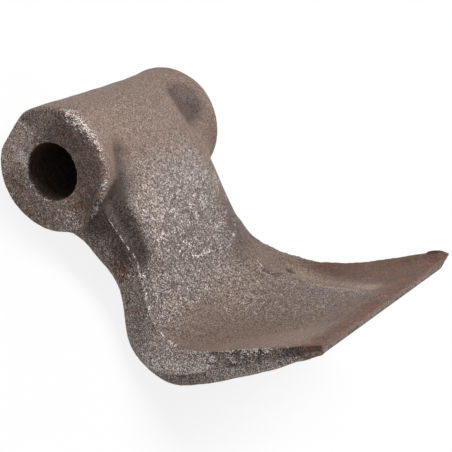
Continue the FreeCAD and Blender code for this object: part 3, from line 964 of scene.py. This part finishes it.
# Tan steel with painted highlight along the fold's crest, and below, a thin thread of painted highlight on the crest.
fold_tan_and_light = (1.0 - fold_gap.step(0.5, 2.4)) * (0.85 - patched * 0.5)
fold_highlight = (1.0 - fold_gap.step(0.1, 0.9)) * (0.5 + mottled)
umber_share = along_path.step(56.0, 76.0) * above_path.step(-3.0, -2.0) * (across_path.step(-18.0, 6.0) * 0.65 + 0.3)

# %% [markdown]
# ### From bare steel to rust, ground steel, dark scale and painted shade
#
# The colours are laid over each other in the order in which they came onto the real forging: film and scale from
# the forge, then rust, then the grinding, then dirt, which carries the painted shade as well.

# %% Lay the colours over each other
brown_share = (finish.painted("brown") + mottled * 0.7 + patched * 0.7).step(0.0, 0.9)
colour = finish.mix(brown_share, GREY, BROWN)
colour = finish.mix(umber_share, colour, UMBER)
colour = finish.mix(fold_tan_and_light, colour, FOLD_TAN_AND_LIGHT)
colour = finish.scaled(colour, finish.painted("tone"))
rust_colour = finish.mix((streak * 1.6 + edge_blot * 1.4 + 0.3).step(0.0, 0.8), RUST_DARK, RUST_LIGHT)
colour = finish.mix(rust_share * 0.94, colour, rust_colour)
colour = finish.mix(ground_face, colour, GROUND)
# Dirt, dark scale and painted shade, from the dark paint.
colour = finish.mix((dark + mottled * 0.22 + streak * 0.3 * dark).step(0.05, 1.12) * 0.94, colour, DARK_SCALE_AND_SHADE)

# %% [markdown]
# ### Bare metal and painted highlights
#
# Flecks show bare metal on rough steel, rubbed places show more of it, and the flash line is a thread of it. The
# fold's crest is a thread of painted highlight, and the rubbed near rim carries painted highlight too. Rust carries no
# flecks, and the ground face neither flecks nor rubbed places.

# %% Bare metal in flecks, rubbed places and threads, and painted highlights
fleck = (finish.channel(cell, 1) + clumped * 0.7).step(0.82, 1.0) * rough_share * not_ground
rubbed_and_highlit = (bright + grain * 1.1 + clumped * 1.3 + mottled * 0.9).step(0.6, 1.3)
rubbed_and_highlit = rubbed_and_highlit * bright.step(0.1, 0.35).larger(rough_share.step(0.6, 0.95) * (1.0 - dark) * 0.6)
flash_thread = 1.0 - finish.painted("crest").size().step(0.06, 0.22)
flash_light = flash_thread * (finish.painted("flash") + grit * 1.6 + clumped * 2.0).step(0.35, 0.95) * 0.9
bare_and_highlight = fold_highlight * 0.16 + fleck * 0.3 * (1.0 - dark * 0.95) * (1.0 - rust_share) + rubbed_and_highlit * not_ground + flash_light
colour = finish.mix(bare_and_highlight.step(0.0, 1.0) * 0.88, colour, PALE)

# %% [markdown]
# ### Salt and pepper
#
# Speckle above zero is a glint that lightens the steel, and below zero a pit that darkens it. Smooth skin has about
# a third of it. The ground face has fine scores across it instead.

# %% Glints, pits and scores
speckle = grain * (0.25 + rough_share * 0.94) * 2.3 + clumped * (0.06 + rough_share) * 1.15
speckle = speckle * (1.0 - ground_face * 0.85)
glint = speckle.larger(0.0)
pit = glint - speckle
brightness = 0.98 + glint * 0.66 + mottled * 0.28 + patched * 0.35 + score * ground_face * 5.0
colour = finish.scaled(colour, brightness.larger(0.28))
colour = finish.mix(pit * (1.15 - rubbed_and_highlit * 0.6), colour, PIT, blend="MULTIPLY")
colour = finish.mix(glint * 0.17 * (1.0 - dark * 0.85) * (1.0 - rust_share * 0.85), colour, PALE)

# %% The shader, with black painted shade inside the pin hole
bump_height = grain * rough_share + clumped * 1.2 + mottled * 0.5
bump = finish.node("ShaderNodeBump", {}, {"Strength": 0.42, "Distance": 0.00015, "Height": bump_height})
steel_sockets = {"Base Color": colour, "Metallic": 0.1, "Roughness": 0.62, "Specular IOR Level": 0.35, "Normal": bump}
steel_shader = finish.node("ShaderNodeBsdfPrincipled", {}, steel_sockets)
painted_hole_shade = finish.node("ShaderNodeBsdfDiffuse", {}, {"Color": (0.0006, 0.0005, 0.0005, 1.0)})
skin_surface = finish.node("ShaderNodeMixShader", {}, {0: finish.painted("bore"), 1: steel_shader, 2: painted_hole_shade})
finish.node("ShaderNodeOutputMaterial", {}, {"Surface": skin_surface})
skin.materials.clear()
skin.materials.append(steel)
print("steel material:", len(steel.node_tree.nodes), "nodes")

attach(forging, "root")
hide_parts("hammer")

# %% [markdown]
# ## Floor, background and light
#
# The photograph has a plain white ground. Eyes and mirrors see a white floor and sky, but the light that they throw
# back on the hammer is greyer, so its lower sides stay as dark as they should. The floor still takes a shadow.

# %% White floor that keeps the shadow
FLOOR_SIZE = 8.0
BOUNCE_GREY = (0.55, 0.55, 0.55, 1.0)
PAPER_WHITE = (0.96, 0.96, 0.96, 1.0)
SELF_LIT_SHARE = 0.86

bpy.ops.object.select_all(action="DESELECT")
bpy.ops.mesh.primitive_plane_add(size=FLOOR_SIZE, location=(0.0, 0.0, cad_low.z))
floor = bpy.context.active_object
floor.name = "floor"
paper_material = bpy.data.materials.new("white_paper")
paper_material.use_nodes = True
paper = Finish(paper_material.node_tree)


def seen_directly(finish):
    """1 for what the camera, a reflection or a clear pane sees, 0 for light thrown back."""
    camera_ray = finish.node("ShaderNodeLightPath", output="Is Camera Ray")
    glossy_ray = finish.node("ShaderNodeLightPath", output="Is Glossy Ray")
    clear_ray = finish.node("ShaderNodeLightPath", output="Is Transmission Ray")
    return camera_ray.larger(glossy_ray).larger(clear_ray)


bounce = paper.node("ShaderNodeBsdfDiffuse", {}, {"Color": BOUNCE_GREY})
shadowed = paper.node("ShaderNodeBsdfDiffuse", {}, {"Color": PAPER_WHITE})
lit = paper.node("ShaderNodeEmission", {}, {"Strength": 1.0})
white = paper.node("ShaderNodeMixShader", {}, {0: SELF_LIT_SHARE, 1: shadowed, 2: lit})
paper_surface = paper.node("ShaderNodeMixShader", {}, {0: seen_directly(paper), 1: bounce, 2: white})
paper.node("ShaderNodeOutputMaterial", {}, {"Surface": paper_surface})
floor.data.materials.append(paper_material)

# %% White sky, dimmer for the light that it gives
SKY_FILL = 0.34

world = bpy.data.worlds.new("studio")
bpy.context.scene.world = world
world.use_nodes = True
sky = Finish(world.node_tree)
fill = sky.node("ShaderNodeBackground", {}, {"Strength": SKY_FILL})
backdrop = sky.node("ShaderNodeBackground", {}, {"Strength": 1.0})
shown = sky.node("ShaderNodeMixShader", {}, {0: seen_directly(sky), 1: fill, 2: backdrop})
sky.node("ShaderNodeOutputWorld", {}, {"Surface": shown})

# %% One large soft lamp, above and a little behind
LAMP_FROM = Vector((0.12, 0.25, 0.96)).normalized()
LAMP_AIM = Vector((0.035, 0.0, 0.0))
LAMP_DISTANCE = 1.2
LAMP_SIZE = 0.6
LAMP_POWER = 12.5

lamp_data = bpy.data.lights.new("softbox", "AREA")
lamp_data.shape = "SQUARE"
lamp_data.size = LAMP_SIZE
lamp_data.energy = LAMP_POWER
lamp = bpy.data.objects.new("softbox", lamp_data)
bpy.context.scene.collection.objects.link(lamp)
lamp.location = LAMP_AIM + LAMP_FROM * LAMP_DISTANCE
lamp.rotation_euler = LAMP_FROM.to_track_quat("Z", "Y").to_euler()
bpy.context.scene.view_settings.view_transform = "Standard"
